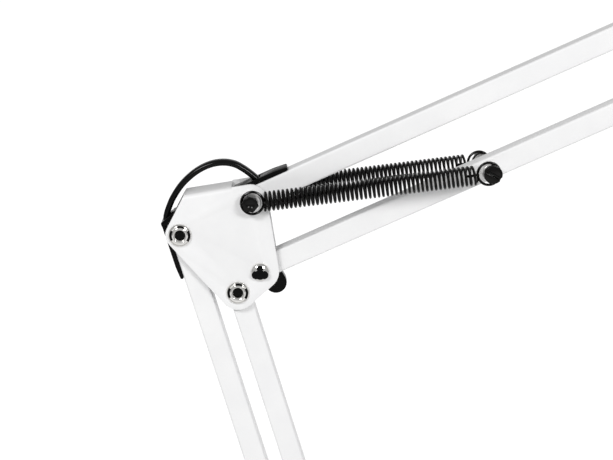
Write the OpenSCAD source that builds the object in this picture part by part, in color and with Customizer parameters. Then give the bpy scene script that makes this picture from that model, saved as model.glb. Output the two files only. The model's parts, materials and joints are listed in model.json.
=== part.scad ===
// Swing arm desk lamp: a round weighted base, two spring-balanced parallelogram arms of square tube
// joined by a folded elbow bracket, and a domed shade on a tilting head.
// Millimetres, +Z up, origin on the table under the swivel axis. The arms swing in the XZ plane.

/* [Base] */
// Diameter of the base
base_d = 200; // [180:1:240]
// Height of the base cover's top
base_h = 20; // [18:1:26]
// Height of the middle of the foot bracket
foot_z = 80; // [78:1:100]

/* [Arms] */
// Length of each arm between its pivots
arm_len = 400; // [300:5:450]
// Width of the square tubes
tube_w = 10; // [9:0.5:11]
// Wall thickness of the square tubes
tube_wall = 1; // [0.8:0.1:1.5]
// Angle of the lower arm from the vertical, leaning to the left
lower_lean = 16.5; // [10:0.5:25]
// Angle of the upper arm above the horizontal, rising to the right
upper_rise = 24; // [10:0.5:35]

/* [Brackets] */
// Gap between the two plates of a bracket
plate_gap = 15; // [14:0.5:18]
// Thickness of the bracket sheet
plate_t = 1.5; // [1:0.1:2]

/* [Springs] */
// Outside diameter of a spring's coil
coil_d = 9.2; // [8:0.1:10]
// Thickness of the spring wire
wire_d = 1.1; // [1:0.1:1.5]
// Distance of the spring's axis from the middle plane
spring_y = 14.5; // [14:0.5:16]

/* [Shade] */
// Diameter of the shade's mouth
shade_d = 160; // [150:1:180]
// Height of the shade's dome
shade_h = 105; // [100:1:130]
// Diameter of the cap over the lampholder
cap_d = 44; // [42:1:50]

/* [Cord] */
// Width of the flat twin cord
cord_w = 5.4; // [5:0.1:6]
// Thickness of the flat twin cord
cord_t = 3.2; // [2.8:0.1:3.6]
// Middle diameter of the lead's coil of turns
lead_coil_d = 62; // [58:1:64]

/* [Hidden] */
$fn = 48;
lower_angle = 90 + lower_lean;

// Pivots in the XZ plane. The lower pair are the main tube's and the link tube's.
lower_offset = [25.7, -27];
elbow_offset = [31.9, 15.7];
upper_offset = [4, -33];
head_offset = [44, -16];
function along(angle, s) = s * [cos(angle), sin(angle)];
foot_main = [-lower_offset[0] / 2, foot_z - lower_offset[1] / 2];
foot_link = foot_main + lower_offset;
elbow_main = foot_main + along(lower_angle, arm_len);
elbow_link = elbow_main + lower_offset;
upper_main = elbow_main + elbow_offset;
upper_link = upper_main + upper_offset;
head_main = upper_main + along(upper_rise, arm_len);
head_link = head_main + upper_offset;
tilt = head_main + head_offset;

// Spring ends: each spring runs from a main pivot to a bolt on the link tube
upper_bolt_s = 113;
lower_bolt_s = 140;
upper_bolt = upper_link + along(upper_rise, upper_bolt_s);
lower_bolt = foot_link + along(lower_angle, lower_bolt_s);
eye_r = 5;
eye_slack = 1.4;
axle_slack = 0.9;
hook_gap = 7.7;
stem_d = 1.6;

// Sheet and fastener sizes
inner_y = plate_gap / 2;
outer_y = inner_y + plate_t;
half = tube_w / 2;
bolt_r = 2.5;
rivet_r = 3;
rivet_bore_r = 2;
rivet_flange_r = 4.5;
rivet_flange_t = 1.3;
run = 0.05;
washer_gap = 0.15;
bolt_end_y = 15.4;
bolt_head_t = 3.2;
spring_head_af = 6.8;
spring_head_t = 2.4;
bush_r = 4.6;
bush_end_y = 13.3;
knob_y = 11;
knob_t = 6;
knob_reach = 12.9;
knob_tip_r = 5.1;
knob_turn = -56;

// Tube ends and the black saddles that lead the cord into the main tubes
stub = 5;
cap_stub = 7;
link_stub = 4.2;
saddle_t = 2.1;
saddle_len = 20;
saddle_nose = 5.5;
saddle_tip_r = 0.8;
cap_t = 1;
slot_w = 6.2;
slot_t = 4;

// Swivel: socket on the base and hollow pin under the foot
pin_r = 6;
pin_hole_r = 3.5;
foot_web_z = foot_z - 29;
socket_top = foot_web_z - 3.8;
pad_t = 3;
cover_t = 1.5;

// Shade, measured downwards from the tilt pivot
cap_top = -26;
cap_bottom = -70;
cap_wall = 1.5;
cap_round = 3.5;
neck_z = -62;
dome_z = -68;
dome_r = cap_d / 2 + 1.2;
mouth_z = dome_z - shade_h;
shade_t = 1;
holder_r = 17;
holder_bottom = -78;
bulb_r = 30;
bulb_z = -124;
bulb_neck_r = 13.4;
switch_z = -46;
grommet_x = 13;
grommet_top = -22.5;

// Routes of the cord's loops in the XZ plane, each from the pivot named beside it
elbow_route = [[-37.6, -13.5], [-38.3, -11], [-38.4, -8.5], [-37.2, -4.5], [-34.9, 0.5],
    [-30.7, 6.5], [-24.7, 11.8], [-18.4, 15], [-12.5, 16], [-7.3, 15.2], [-3, 12.9], [0.6, 10.2],
    [3, 8.2]]; // upper_main
foot_route = [[-2.4, -6], [-2, -9], [-1, -15], [1.4, -21.5], [5, -28], [9, -34], [11.9, -40],
    [12.85, -46], [12.85, -50]]; // foot_main
head_route = [[-8.1, 1.8], [-7.8, 4.3], [-6.8, 11], [-2.5, 20], [6, 27], [17, 30], [29, 29], [40, 24],
    [49, 15], [54.5, 4], [56.8, -9], [57, -22], [57, -32], [57, -41]]; // head_main

// Routes of the mains lead: from the base's gland to the coil, and from the coil to the plug
gland_z = 9;
gland_len = 34;
gland_y = base_d / 2 + gland_len;
coil_centre = [113.4, 132.4];
coil_columns = 4;
coil_rows = 2;
column_gap = 3.3;
coil_floor = 0.7;
coil_half = (coil_columns * column_gap + cord_t) / 2;
coil_h = coil_rows * (cord_w + 0.1);
plug_tail = 64;
plug_x = 151;
plug_z = 6.9;
lead_route = [[0, 134, 9], [0, 143, 8], [1.5, 152, 5.5], [7, 161, 3], [16, 167.5, 1.8],
    [28, 170, 1.6], [42, 170, 1.6], [56, 170, 1.6], [70, 170, 1.6], [84, 170, 2], [98, 170, 2.8],
    [113.4, 170, 3.4]];
plug_route = [[151, 132.4, 9], [151, 122, 8.2], [151, 108, 5], [151, 96, 2.2], [151, 84, 2.2],
    [151, 74, 4.7], [151, 64.6, 6.8]];

// ---- Helpers ----

// Direction, in degrees, of the outside normal of the line that touches circles a and b on its left
function normal_angle(a, b) = let (d = [b[0] - a[0], b[1] - a[1]])
    atan2(d[1], d[0]) + acos((a[2] - b[2]) / norm(d));

// Outline round a clockwise list of circles [x, y, r], with their arcs in steps of about 15 degrees
function outline(circles) = let (n = len(circles)) [for (i = [0 : n - 1])
    let (c = circles[i], before = circles[(i + n - 1) % n], after = circles[(i + 1) % n],
        start = normal_angle(before, c), turn = (start - normal_angle(c, after) + 720) % 360,
        steps = ceil(turn / 15))
    for (j = [0 : steps]) [c[0], c[1]] + c[2] * [cos(start - turn * j / steps),
        sin(start - turn * j / steps)]];

function on(p, r) = [p[0], p[1], r];
function unit(v) = v / norm(v);
function heading(route, i) =
    unit(route[min(i + 1, len(route) - 1)] - route[max(i - 1, 0)]);
function in_plane(route, p) = [for (q = route) [p[0] + q[0], 0, p[1] + q[1]]];

// A flat cord as eight-sided rings along a route, its width along `across` or, with none, level
module flat_cord(route, across) {
    n = len(route);
    points = [for (i = [0 : n - 1])
        let (t = heading(route, i), w = is_undef(across) ? unit(cross([0, 0, 1], t)) : across,
            v = cross(t, w))
        for (k = [0 : 7]) route[i] + w * cord_w / 2 * cos(45 * k) + v * cord_t / 2 * sin(45 * k)];
    sides = [for (i = [0 : n - 2]) for (k = [0 : 7])
        [8 * i + k, 8 * i + 8 + k, 8 * i + 8 + (k + 1) % 8, 8 * i + (k + 1) % 8]];
    ends = [[for (k = [0 : 7]) k], [for (k = [7 : -1 : 0]) 8 * n - 8 + k]];
    polyhedron(points, concat(sides, ends));
}

// Extrudes an outline drawn in X and Z from y0 to y1
module slab(y0, y1) {
    translate([0, y1, 0]) rotate([90, 0, 0]) linear_extrude(y1 - y0) children();
}

module rod_y(p, r, y0, y1) {
    translate([p[0], y0, p[1]]) rotate([-90, 0, 0]) cylinder(r = r, h = y1 - y0);
}

module ring_y(p, r, hole_r, y0, y1) {
    difference() {
        rod_y(p, r, y0, y1);
        rod_y(p, hole_r, y0 - 1, y1 + 1);
    }
}

module hex_y(p, af, y0, y1, turn = 0) {
    translate([p[0], y0, p[1]]) rotate([-90, 0, 0]) rotate(turn)
        cylinder(d = af / cos(30), h = y1 - y0, $fn = 6);
}

// Draws its children with X along a tube that leaves p at an angle above the horizontal
module tube_frame(p, angle) {
    translate([p[0], 0, p[1]]) rotate([0, -angle, 0]) children();
}

module both_sides() {
    children();
    mirror([0, 1, 0]) children();
}

module square_tube(x0, x1) {
    corner = 1;
    inner = half - tube_wall;
    translate([x0, 0, 0]) rotate([90, 0, 90]) linear_extrude(x1 - x0) difference() {
        polygon(outline([for (q = [[-1, 1], [1, 1], [1, -1], [-1, -1]]) on(q * (half - corner), corner)]));
        square(2 * inner, center = true);
    }
}

// Round holes across a tube at places [x, r]
module cross_holes(places) {
    for (q = places) rod_y([q[0], 0], q[1] + run, -half - 1, half + 1);
}

// Cut for the cord, through p in the XZ plane and along an angle
module cord_cut(p, angle) {
    tube_frame(p, angle) cube([14, slot_w, slot_t], center = true);
}

// A saddle on a tube's +Z face: it closes the tube at x = -end and runs to x = saddle_len
module saddle(end) {
    slab(-half, half) {
        polygon(outline([[-end + 1, half + saddle_t - 2, 2], [saddle_len - saddle_nose, half + saddle_t - 0.3,
            0.3], [saddle_len, half + saddle_tip_r, saddle_tip_r], [-end - cap_t + 0.3, half + 0.3, 0.3]]));
        translate([-end - cap_t, -half]) square([cap_t, 2 * half + 0.6]);
    }
}

// A saddle with a slanted block that wraps the tube's end
module block_saddle(end) {
    top = half + saddle_t;
    slab(-half, half) polygon(outline([[-end + 1, top - 0.3, 0.3], [saddle_len - saddle_nose, top - 0.3, 0.3],
        [saddle_len, half + saddle_tip_r, saddle_tip_r], [-end + 1, half + 0.3, 0.3]]));
    difference() {
        slab(-half - 1, half + 1) polygon([[-end - 3, -half], [-end - 3, 0.5], [-end, top], [-end + 1.6, top],
            [-end + 1.6, -half]]);
        translate([-end, -half, -half - 1]) cube([end, 2 * half, 2 * half + 1]);
    }
}

module washers(places) {
    both_sides() for (q = places)
        ring_y(q[0], 5, q[1] + run, half + washer_gap, inner_y);
}

// Flanged tubular rivet across both plates
module tubular_rivet(p) {
    end = outer_y + rivet_flange_t;
    difference() {
        union() {
            rod_y(p, rivet_r, -outer_y, outer_y);
            both_sides() rod_y(p, rivet_flange_r, outer_y, end);
        }
        rod_y(p, rivet_bore_r, -end - 1, end + 1);
    }
}

// Long bolt that carries a pair of spring eyes outside the plates
module spring_axle(p) {
    rod_y(p, bolt_r, -bolt_end_y, bolt_end_y);
    both_sides() hex_y(p, spring_head_af, bolt_end_y, bolt_end_y + spring_head_t, 20);
}

module spring_axle_bushes(p) {
    both_sides() ring_y(p, bush_r, bolt_r + run, outer_y, bush_end_y);
}

// Bolt with a domed head in front and its thread end in the knob behind
module knob_bolt(p) {
    head_r = 4;
    head_t = 2.4;
    rod_y(p, bolt_r, -outer_y - 0.1, knob_y + knob_t - 1);
    translate([p[0], -outer_y, p[1]]) rotate([90, 0, 0]) rotate_extrude()
        polygon([[0, 0], [head_r, 0], for (a = [0 : 15 : 90])
            [head_r * cos(a), 0.6 + (head_t - 0.6) * sin(a)]]);
}

module wing_knob(p) {
    tips = [for (side = [1, -1]) on(along(knob_turn, side * knob_reach), knob_tip_r)];
    hub = [0, 0, 6];
    difference() {
        translate([p[0], 0, p[1]]) union() {
            slab(knob_y, knob_y + knob_t) polygon(outline([tips[0], hub, tips[1], hub]));
            rod_y([0, 0], 5, knob_y - 1.4, knob_y + 1);
            rod_y([0, 0], 5, knob_y + knob_t - 1, knob_y + knob_t + 2);
        }
        rod_y(p, bolt_r + run, knob_y - 3, knob_y + knob_t);
    }
}

// Slotted bolt that carries a pair of spring eyes on a link tube
module tube_bolt(p) {
    head_r = 4.1;
    rod_y(p, bolt_r, -bolt_end_y, bolt_end_y);
    both_sides() difference() {
        rod_y(p, head_r, bolt_end_y, bolt_end_y + bolt_head_t);
        translate([p[0], bolt_end_y + bolt_head_t, p[1]]) rotate([0, 30, 0])
            cube([2 * head_r + 1, 2.4, 1.2], center = true);
    }
}

module tube_spacers(p) {
    both_sides() ring_y(p, 4, bolt_r + run, half, bush_end_y + 0.2);
}

module spring_eye(p) {
    translate([p[0], spring_y, p[1]]) rotate([90, 0, 0]) rotate_extrude()
        translate([eye_r, 0]) circle(d = wire_d, $fn = 16);
}

// The pair of closed coils from bolt a towards bolt b, with the eyes on bolt a
module spring_coils(a, b) {
    length = norm(b - a);
    angle = atan2(b[1] - a[1], b[0] - a[0]);
    both_sides() {
        spring_eye(a + along(angle, axle_slack));
        translate([a[0], spring_y, a[1]]) rotate([0, 90 - angle, 0]) {
            translate([0, 0, hook_gap]) difference() {
                cylinder(d = coil_d, h = length - 2 * hook_gap);
                translate([0, 0, -1]) cylinder(d = coil_d - 1.4, h = length + 2);
            }
            translate([0, 0, hook_gap]) cylinder(d = coil_d - 1, h = 1);
            translate([0, 0, eye_r + axle_slack]) cylinder(d = stem_d, h = hook_gap - eye_r);
        }
    }
}

// The eyes on bolt b and their stems towards bolt a
module spring_hooks(a, b) {
    angle = atan2(b[1] - a[1], b[0] - a[0]);
    both_sides() {
        spring_eye(b - along(angle, eye_slack));
        translate([b[0], spring_y, b[1]]) rotate([0, -90 - angle, 0])
            translate([0, 0, eye_r + eye_slack]) cylinder(d = stem_d, h = hook_gap - 0.3 - eye_r - eye_slack);
    }
}

module at_tilt() {
    translate([tilt[0], 0, tilt[1]]) children();
}

// ---- Base ----

module base_pad() {
    color("#2b2b2b") cylinder(r = base_d / 2 - 4, h = pad_t, $fn = 96);
}

module base_weight() {
    color("dimgray") translate([0, 0, pad_t]) difference() {
        cylinder(r = base_d / 2 - 10, h = base_h - pad_t - cover_t - 0.5, $fn = 96);
        translate([0, 0, -1]) cylinder(r = 10.3, h = base_h);
    }
}

module base_cover() {
    edge = 7;
    r = base_d / 2;
    arc = [for (a = [0 : 10 : 90]) [cos(a), sin(a)]];
    outside = [for (u = arc) [r - edge, base_h - edge] + edge * u];
    inside = [for (i = [len(arc) - 1 : -1 : 0]) [r - edge, base_h - edge] + (edge - cover_t) * arc[i]];
    color("whitesmoke") difference() {
        rotate_extrude($fn = 96) polygon(concat([[r, 1]], outside, [[10.3, base_h], [10.3, base_h - cover_t]],
            inside, [[r - cover_t, 1]]));
        rod_y([0, gland_z], 4.3, r - 10, r + 10);
    }
}

module base_socket() {
    color("gainsboro") difference() {
        union() {
            translate([0, 0, base_h]) cylinder(r = 24, h = 3);
            translate([0, 0, base_h]) cylinder(r = 13, h = socket_top - base_h);
            translate([0, 0, pad_t + 1]) cylinder(r = 10, h = base_h);
        }
        cylinder(r = pin_r + run, h = socket_top + 1);
    }
}

module lead_gland() {
    edge = base_d / 2;
    color("#1c1c1c") translate([0, 0, gland_z]) rotate([-90, 0, 0]) rotate_extrude()
        polygon([[0, edge - 6], [5.4, edge - 6], [5.4, edge - 1.9], [4.2, edge - 1.9], [4.2, edge + 0.3],
            [5.8, edge + 0.3], [5.8, edge + 2.5], [4.8, edge + 3.5], [3.3, gland_y], [0, gland_y]]);
}

module mains_lead() {
    color("#1c1c1c") {
        flat_cord(lead_route);
        flat_cord(plug_route);
    }
}

module coil_ring(extra) {
    translate([coil_centre[0], coil_centre[1], 0]) rotate_extrude()
        translate([lead_coil_d / 2 - coil_half - extra, coil_floor - extra])
            square([2 * (coil_half + extra), coil_h + 2 * extra]);
}

module lead_coil() {
    color("#1c1c1c") coil_ring(0);
}

module lead_tie() {
    color("#3a3a3a") difference() {
        intersection() {
            coil_ring(coil_floor);
            translate([coil_centre[0] - 60, coil_centre[1] - 5, -1]) cube([50, 10, 30]);
        }
        coil_ring(0);
    }
}

module plug_body() {
    tail = plug_tail - 12;
    front = plug_tail - 46;
    color("#1c1c1c") {
        difference() {
            linear_extrude(2 * plug_z) polygon(outline([[plug_x - 13.5, tail - 10, 4],
                [plug_x - 4, tail - 1, 1], [plug_x + 4, tail - 1, 1], [plug_x + 13.5, tail - 10, 4],
                [plug_x + 16.5, front + 1, 1], [plug_x - 16.5, front + 1, 1]]));
            for (side = [-1, 1]) rod_y([plug_x + 9.3 * side, plug_z], 2, front - 1, front + 4);
        }
        translate([plug_x, tail - 0.5, plug_z]) rotate([-90, 0, 0])
            cylinder(r1 = 5.2, r2 = 3.3, h = plug_tail - tail + 0.5);
    }
}

module plug_pins() {
    front = plug_tail - 46;
    color("gold") for (side = [-1, 1]) rod_y([plug_x + 9.3 * side, plug_z], 2, front - 19, front + 4);
}

// ---- Foot ----

module swivel_pin() {
    color("silver") difference() {
        union() {
            translate([0, 0, pad_t + 3]) cylinder(r = pin_r, h = foot_web_z - pad_t - 3);
            translate([0, 0, socket_top + 0.3]) cylinder(r = 9, h = foot_web_z - socket_top - 0.3);
        }
        translate([0, 0, -1]) cylinder(r = pin_hole_r, h = foot_web_z + 2);
    }
}

module foot_bracket() {
    corner = 2;
    plate = outline([on(foot_main, 8), on(foot_link, 8), [14, foot_web_z + corner, corner],
        [-14, foot_web_z + corner, corner]]);
    color("whitesmoke") difference() {
        union() {
            both_sides() slab(inner_y, outer_y) polygon(plate);
            slab(-inner_y, inner_y) translate([-14, foot_web_z]) square([28, plate_t]);
        }
        translate([0, 0, foot_web_z - 1]) cylinder(r = pin_hole_r, h = plate_t + 2);
        for (p = [foot_main, foot_link]) rod_y(p, bolt_r + run, -outer_y - 1, outer_y + 1);
    }
}

module foot_spring_bolt() {
    color("#1c1c1c") spring_axle(foot_main);
}

module foot_spring_bushes() {
    color("silver") spring_axle_bushes(foot_main);
}

module foot_link_bolt() {
    color("silver") knob_bolt(foot_link);
}

module foot_washers() {
    color("#1c1c1c") washers([[foot_main, bolt_r], [foot_link, bolt_r]]);
}

module foot_knob() {
    color("#1c1c1c") wing_knob(foot_link);
}

module foot_cord() {
    color("#1c1c1c") flat_cord(in_plane(foot_route, foot_main), [0, 1, 0]);
}

// ---- Lower arm ----

module lower_frame() {
    tube_frame(foot_main, lower_angle) children();
}

module lower_cord_cuts() {
    cord_cut(upper_main + elbow_route[2], 98);
    cord_cut(foot_main + foot_route[1], -83);
}

module lower_main_tube() {
    color("whitesmoke") difference() {
        lower_frame() difference() {
            square_tube(-cap_stub, arm_len + cap_stub);
            cross_holes([[0, bolt_r], [arm_len, rivet_r]]);
        }
        lower_cord_cuts();
    }
}

module lower_saddles() {
    color("#1c1c1c") difference() {
        lower_frame() {
            block_saddle(cap_stub);
            translate([arm_len, 0, 0]) mirror([1, 0, 0]) block_saddle(cap_stub);
        }
        lower_cord_cuts();
    }
}

module lower_link_tube() {
    color("whitesmoke") tube_frame(foot_link, lower_angle) difference() {
        square_tube(-link_stub, arm_len + link_stub);
        cross_holes([[0, bolt_r], [arm_len, rivet_r], [lower_bolt_s, bolt_r]]);
    }
}

module link_plugs() {
    for (x = [-link_stub - cap_t, arm_len + link_stub]) translate([x, -half, -half])
        cube([cap_t, 2 * half, 2 * half]);
}

module lower_link_plugs() {
    color("#1c1c1c") tube_frame(foot_link, lower_angle) link_plugs();
}

module lower_spring_bolt() {
    color("#1c1c1c") tube_bolt(lower_bolt);
}

module lower_spring_spacers() {
    color("silver") tube_spacers(lower_bolt);
}

module lower_spring_coils() {
    color("#1c1c1c") spring_coils(foot_main, lower_bolt);
}

module lower_spring_hooks() {
    color("#1c1c1c") spring_hooks(foot_main, lower_bolt);
}

// ---- Elbow ----

module elbow_bracket() {
    corner = [upper_main[0] - 28.4, upper_main[1] + 0.9, 2];
    plate = outline([corner, on(upper_main, 7.3), on(upper_link, 8.6), on(elbow_link, 8.2),
        on(elbow_main, 6.6)]);
    web_angle = 8.94;
    web_len = 20.4;
    color("whitesmoke") difference() {
        union() {
            both_sides() slab(inner_y, outer_y) polygon(plate);
            slab(-inner_y, inner_y) translate([corner[0], corner[1]]) rotate(web_angle)
                translate([0, 2 - plate_t]) square([web_len, plate_t]);
        }
        for (p = [upper_main, upper_link]) rod_y(p, bolt_r + run, -outer_y - 1, outer_y + 1);
        for (p = [elbow_main, elbow_link]) rod_y(p, rivet_r + run, -outer_y - 1, outer_y + 1);
    }
}

module elbow_spring_bolt() {
    color("#1c1c1c") spring_axle(upper_main);
}

module elbow_spring_bushes() {
    color("silver") spring_axle_bushes(upper_main);
}

module elbow_rivets() {
    color("silver") for (p = [elbow_main, elbow_link]) tubular_rivet(p);
}

module elbow_link_bolt() {
    color("silver") knob_bolt(upper_link);
}

module elbow_washers() {
    color("#1c1c1c") washers([[upper_main, bolt_r], [upper_link, bolt_r], [elbow_main, rivet_r],
        [elbow_link, rivet_r]]);
}

module elbow_knob() {
    color("#1c1c1c") wing_knob(upper_link);
}

module elbow_cord() {
    color("#1c1c1c") flat_cord(in_plane(elbow_route, upper_main), [0, 1, 0]);
}

// ---- Upper arm ----

module upper_frame() {
    tube_frame(upper_main, upper_rise) children();
}

module upper_cord_cuts() {
    cord_cut(upper_main + elbow_route[12], -38);
    cord_cut(head_main + head_route[1], 84);
}

module upper_main_tube() {
    color("whitesmoke") difference() {
        upper_frame() difference() {
            square_tube(-stub, arm_len + stub);
            cross_holes([[0, bolt_r], [arm_len, rivet_r]]);
        }
        upper_cord_cuts();
    }
}

module upper_saddles() {
    color("#1c1c1c") difference() {
        upper_frame() {
            saddle(stub);
            translate([arm_len, 0, 0]) mirror([1, 0, 0]) saddle(stub);
        }
        upper_cord_cuts();
    }
}

module upper_link_tube() {
    color("whitesmoke") tube_frame(upper_link, upper_rise) difference() {
        square_tube(-link_stub, arm_len + link_stub);
        cross_holes([[0, bolt_r], [arm_len, rivet_r], [upper_bolt_s, bolt_r]]);
    }
}

module upper_link_plugs() {
    color("#1c1c1c") tube_frame(upper_link, upper_rise) link_plugs();
}

module upper_spring_bolt() {
    color("#1c1c1c") tube_bolt(upper_bolt);
}

module upper_spring_spacers() {
    color("silver") tube_spacers(upper_bolt);
}

module upper_spring_coils() {
    color("#1c1c1c") spring_coils(upper_main, upper_bolt);
}

module upper_spring_hooks() {
    color("#1c1c1c") spring_hooks(upper_main, upper_bolt);
}

// ---- Head ----

module head_bracket() {
    web_angle = atan2(head_offset[1], head_offset[0]);
    color("whitesmoke") difference() {
        union() {
            both_sides() slab(inner_y, outer_y)
                polygon(outline([on(head_main, 8), on(tilt, 8), on(head_link, 8)]));
            slab(-inner_y, inner_y) translate(head_main) rotate(web_angle) translate([14, 8 - plate_t])
                square([20, plate_t]);
        }
        for (p = [head_main, head_link]) rod_y(p, rivet_r + run, -outer_y - 1, outer_y + 1);
        rod_y(tilt, bolt_r + run, -outer_y - 1, outer_y + 1);
    }
}

module head_rivets() {
    color("silver") for (p = [head_main, head_link]) tubular_rivet(p);
}

module head_washers() {
    color("#1c1c1c") washers([[head_main, rivet_r], [head_link, rivet_r], [tilt, bolt_r]]);
}

module tilt_bolt() {
    color("silver") knob_bolt(tilt);
}

module head_knob() {
    color("#1c1c1c") wing_knob(tilt);
}

module head_cord() {
    color("#1c1c1c") flat_cord(in_plane(head_route, head_main), [0, 1, 0]);
}

// ---- Shade ----

module shade_lug() {
    color("whitesmoke") at_tilt() difference() {
        slab(-half, half) polygon(outline([[0, 0, 7.5], [7, cap_top + 0.5, 0.5], [-7, cap_top + 0.5, 0.5]]));
        rod_y([0, 0], bolt_r + run, -half - 1, half + 1);
    }
}

module shade_cap() {
    r = cap_d / 2;
    shoulder = [for (a = [90 : -15 : 0]) [r - cap_round, cap_top - cap_round] + cap_round * [cos(a), sin(a)]];
    color("whitesmoke") at_tilt() difference() {
        rotate_extrude() polygon(concat([[0, cap_top]], shoulder, [[r, cap_bottom],
            [r - cap_wall, cap_bottom], [r - cap_wall, cap_top - cap_round],
            [r - cap_round, cap_top - cap_wall], [0, cap_top - cap_wall]]));
        rod_y([0, switch_z], 5.1, -r - 2, -holder_r);
        translate([grommet_x, 0, cap_top - 5]) cylinder(r = 3.4, h = 8);
    }
}

// Half-ellipse dome with a short neck and a curled rim
module shade() {
    steps = [0 : 6 : 90];
    reach = shade_d / 2 - dome_r;
    outside = [for (a = steps) [dome_r + reach * sin(a), dome_z - shade_h * (1 - cos(a))]];
    inside = [for (i = [len(outside) - 1 : -1 : 0])
        [outside[i][0] - shade_t, outside[i][1] - (i == len(outside) - 1 ? 0 : shade_t)]];
    color("whitesmoke") at_tilt() {
        rotate_extrude($fn = 96)
            polygon(concat([[dome_r - shade_t, neck_z], [dome_r, neck_z]], outside, inside));
        rotate_extrude($fn = 96) translate([shade_d / 2 - 1.2, mouth_z]) circle(r = 1.2, $fn = 16);
    }
}

module cord_grommet() {
    color("#1c1c1c") at_tilt() translate([grommet_x, 0, 0]) rotate_extrude()
        polygon([[3.1, grommet_top], [4, grommet_top], [4.6, grommet_top - 1], [4.6, cap_top], [3.4, cap_top],
            [3.4, cap_top - cap_wall], [3.1, cap_top - cap_wall]]);
}

module lampholder() {
    color("#1c1c1c") at_tilt() difference() {
        translate([0, 0, holder_bottom]) cylinder(r = holder_r, h = cap_top - cap_wall - holder_bottom);
        translate([0, 0, holder_bottom - 1]) cylinder(r = bulb_neck_r + 0.2, h = 30);
        translate([grommet_x, -4, cap_top - 12]) cube([10, 8, 20]);
    }
}

module bulb_cap() {
    color("silver") at_tilt() {
        translate([0, 0, holder_bottom]) cylinder(r = bulb_neck_r - 0.4, h = 24);
        translate([0, 0, holder_bottom + 24]) cylinder(r1 = 10, r2 = 5, h = 4);
    }
}

module bulb_glass() {
    neck = [[0, holder_bottom], [bulb_neck_r, holder_bottom], [14.5, holder_bottom - 7],
        [18, holder_bottom - 15]];
    globe = [for (a = [46 : -8 : -90]) [bulb_r * cos(a), bulb_z + bulb_r * sin(a)]];
    color("white") at_tilt() rotate_extrude() polygon(concat(neck, globe));
}

module switch_bezel() {
    color("silver") at_tilt() ring_y([0, switch_z], 7, 5.1, -cap_d / 2 - 2, -cap_d / 2);
}

module switch_button() {
    color("#1c1c1c") at_tilt() rod_y([0, switch_z], 4.9, -cap_d / 2 - 5, -cap_d / 2 + 1);
}

base_pad();
base_weight();
base_cover();
base_socket();
lead_gland();
mains_lead();
lead_coil();
lead_tie();
plug_body();
plug_pins();
swivel_pin();
foot_bracket();
foot_spring_bolt();
foot_spring_bushes();
foot_link_bolt();
foot_washers();
foot_knob();
foot_cord();
lower_main_tube();
lower_saddles();
lower_link_tube();
lower_link_plugs();
lower_spring_bolt();
lower_spring_spacers();
lower_spring_coils();
lower_spring_hooks();
elbow_bracket();
elbow_spring_bolt();
elbow_spring_bushes();
elbow_rivets();
elbow_link_bolt();
elbow_washers();
elbow_knob();
elbow_cord();
upper_main_tube();
upper_saddles();
upper_link_tube();
upper_link_plugs();
upper_spring_bolt();
upper_spring_spacers();
upper_spring_coils();
upper_spring_hooks();
head_bracket();
head_rivets();
head_washers();
tilt_bolt();
head_knob();
head_cord();
shade_lug();
shade_cap();
shade();
cord_grommet();
lampholder();
bulb_cap();
bulb_glass();
switch_bezel();
switch_button();
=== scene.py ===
"""Swing arm desk lamp: looks and small parts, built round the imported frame. Metres, +Z up."""

import json
import math

import bpy
from mathutils import Matrix, Vector


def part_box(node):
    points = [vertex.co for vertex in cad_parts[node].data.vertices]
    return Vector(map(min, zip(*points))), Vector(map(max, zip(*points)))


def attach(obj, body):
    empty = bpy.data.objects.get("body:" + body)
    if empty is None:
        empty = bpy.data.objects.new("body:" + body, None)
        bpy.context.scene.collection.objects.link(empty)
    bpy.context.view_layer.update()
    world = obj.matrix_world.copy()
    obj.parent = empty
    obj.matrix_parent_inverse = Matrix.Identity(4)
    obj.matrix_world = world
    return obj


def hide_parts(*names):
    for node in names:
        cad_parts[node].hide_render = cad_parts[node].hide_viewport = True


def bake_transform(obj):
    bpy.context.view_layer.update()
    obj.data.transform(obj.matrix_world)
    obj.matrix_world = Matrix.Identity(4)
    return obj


# ---- The frame ----
# The bodies, the pivots they swing on and the box that every piece keeps to. The two arms are
# parallelograms: each has a main tube and a link tube, the same offset apart at both of their ends.
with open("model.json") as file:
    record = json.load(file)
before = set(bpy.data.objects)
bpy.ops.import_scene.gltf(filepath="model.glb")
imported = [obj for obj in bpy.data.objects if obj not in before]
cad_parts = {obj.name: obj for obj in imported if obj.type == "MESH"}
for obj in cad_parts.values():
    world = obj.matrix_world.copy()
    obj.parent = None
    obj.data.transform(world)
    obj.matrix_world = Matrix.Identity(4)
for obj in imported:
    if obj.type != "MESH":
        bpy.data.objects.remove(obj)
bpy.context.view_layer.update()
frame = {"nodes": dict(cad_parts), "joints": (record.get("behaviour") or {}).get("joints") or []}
bpy.ops.object.select_all(action="DESELECT")
pivot = {j["name"]: Vector(j["pos_m"]) for j in frame["joints"] if j.get("pos_m")}
elbow_top = pivot["upper_swing"]
elbow_side = pivot["elbow_level"]
foot_pivot = pivot["lower_swing"]
head_pivot = pivot["head_level"]
tilt_pivot = pivot["shade_tilt"]
upper_offset = pivot["upper_link_follow"] - elbow_top
lower_offset = pivot["lower_link_follow"] - foot_pivot
elbow_foot = elbow_side + lower_offset
head_foot = head_pivot + upper_offset

# ---- Camera ----
# Stands in front of the elbow's plate and a little above it, looking slightly down. The upper arm
# leaves the picture at the right and the lower arm below; the base and the shade are outside it.
camera_offset = Vector((0.01054, -0.56726, 0.11871))
camera_down = 13.33
camera_right = 1.49
camera_lens = 74.78
bpy.ops.object.camera_add(location=elbow_top + camera_offset)
camera = bpy.context.object
camera.rotation_euler = (math.radians(90 - camera_down), 0, math.radians(-camera_right))
camera.data.lens = camera_lens
camera.data.sensor_width = 36
camera.data.clip_end = 200
camera.data.dof.use_dof = False
bpy.context.scene.camera = camera

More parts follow.
